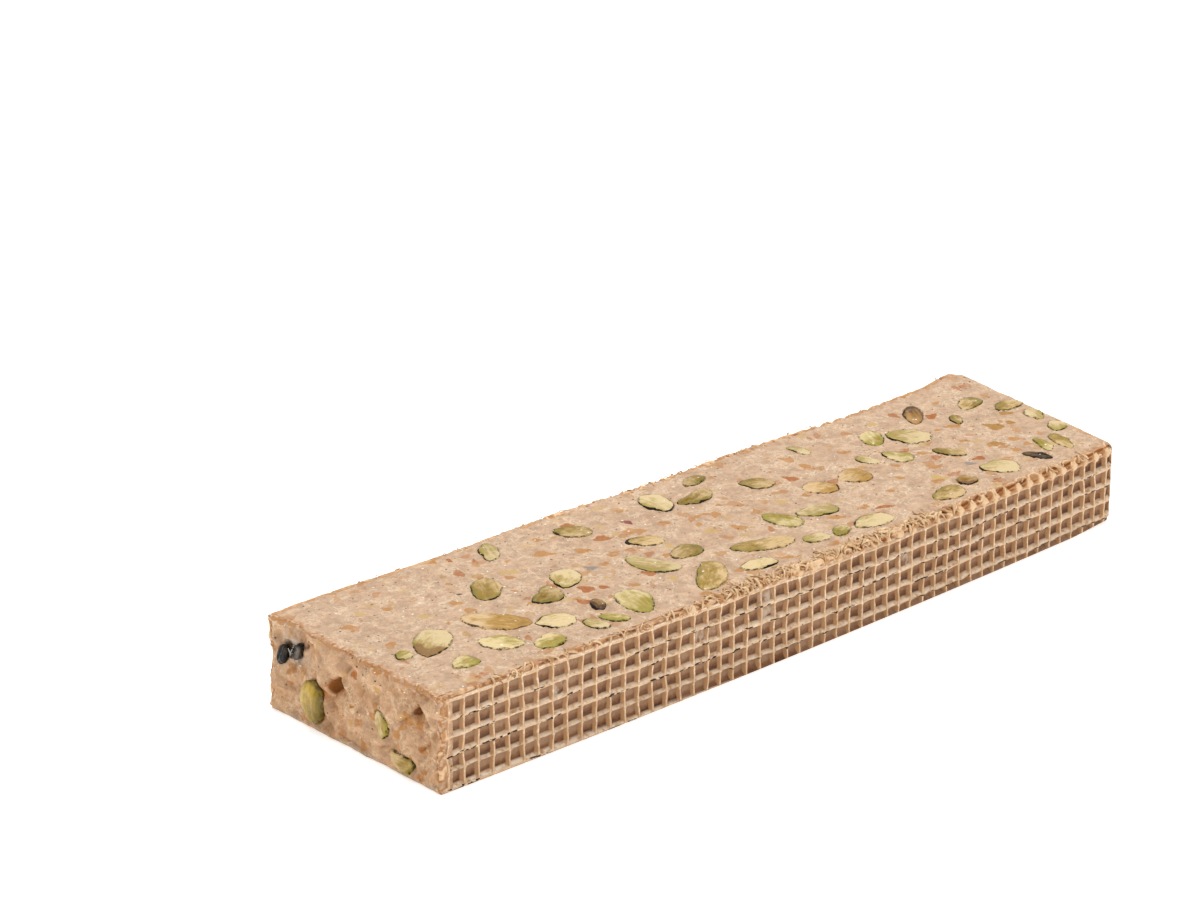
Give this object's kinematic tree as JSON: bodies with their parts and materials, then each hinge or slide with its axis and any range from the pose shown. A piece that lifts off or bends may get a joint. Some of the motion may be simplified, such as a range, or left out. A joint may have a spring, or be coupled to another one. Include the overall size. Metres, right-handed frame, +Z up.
{
  "type": "nougat bar",
  "caption": "Long flat bar of soft nut nougat with waffle-pressed sides, cut kernels across its smooth top and one broken end.",
  "frame": {"origin": "middle of the flat underside", "axes": "+X along the bar from its broken end to its cut end, +Y from the long side that shows to the one behind, +Z up out of the cut top"},
  "size_m": [0.2052, 0.057, 0.0217],
  "materials": {
    "nougat": "soft pinkish beige nougat, cut smooth on top, waffled and browner on the sides",
    "kernel_green": "cut pistachio, yellow-green with a greener rim",
    "kernel_pale": "cut pistachio, pale cream with a green rim",
    "kernel_olive": "cut pistachio, olive with a dark skin",
    "kernel_tan": "cut almond or pale nut, ochre",
    "kernel_dark": "kernel with its dark brown skin",
    "fruit_dark": "dark dried fruit, moist"
  },
  "bodies": {
    "root": {"nougat": "nougat", "kernel_01": "kernel_green", "kernel_02": "kernel_pale", "kernel_03": "kernel_green", "kernel_04": "kernel_tan", "kernel_05": "kernel_green", "kernel_06": "kernel_green", "kernel_07": "kernel_pale", "kernel_08": "kernel_olive", "kernel_09": "kernel_olive", "kernel_10": "kernel_pale", "kernel_11": "kernel_green", "kernel_12": "kernel_pale", "kernel_13": "kernel_olive", "kernel_14": "kernel_pale", "kernel_15": "kernel_olive", "kernel_16": "kernel_pale", "kernel_17": "kernel_olive", "kernel_18": "kernel_green", "kernel_19": "kernel_olive", "kernel_20": "kernel_pale", "kernel_21": "kernel_pale", "kernel_22": "kernel_olive", "kernel_23": "kernel_dark", "kernel_24": "kernel_olive", "kernel_25": "kernel_olive", "kernel_26": "kernel_olive", "kernel_27": "kernel_green", "kernel_28": "kernel_pale", "kernel_29": "kernel_tan", "kernel_30": "kernel_tan", "kernel_31": "kernel_pale", "kernel_32": "kernel_green", "kernel_33": "kernel_pale", "kernel_34": "kernel_olive", "kernel_35": "kernel_pale", "kernel_36": "kernel_green", "kernel_37": "kernel_green", "kernel_38": "kernel_pale", "kernel_39": "kernel_dark", "kernel_40": "kernel_olive", "kernel_41": "kernel_olive", "kernel_42": "kernel_olive", "kernel_43": "kernel_pale", "kernel_44": "kernel_pale", "kernel_45": "kernel_olive", "kernel_46": "kernel_pale", "kernel_47": "kernel_green", "kernel_48": "kernel_olive", "kernel_49": "kernel_dark", "kernel_50": "kernel_tan", "kernel_51": "kernel_pale", "end_kernel_01": "kernel_olive", "end_kernel_02": "kernel_olive", "end_kernel_03": "kernel_pale", "end_kernel_04": "fruit_dark", "end_kernel_05": "fruit_dark"}
  },
  "joints": []
}
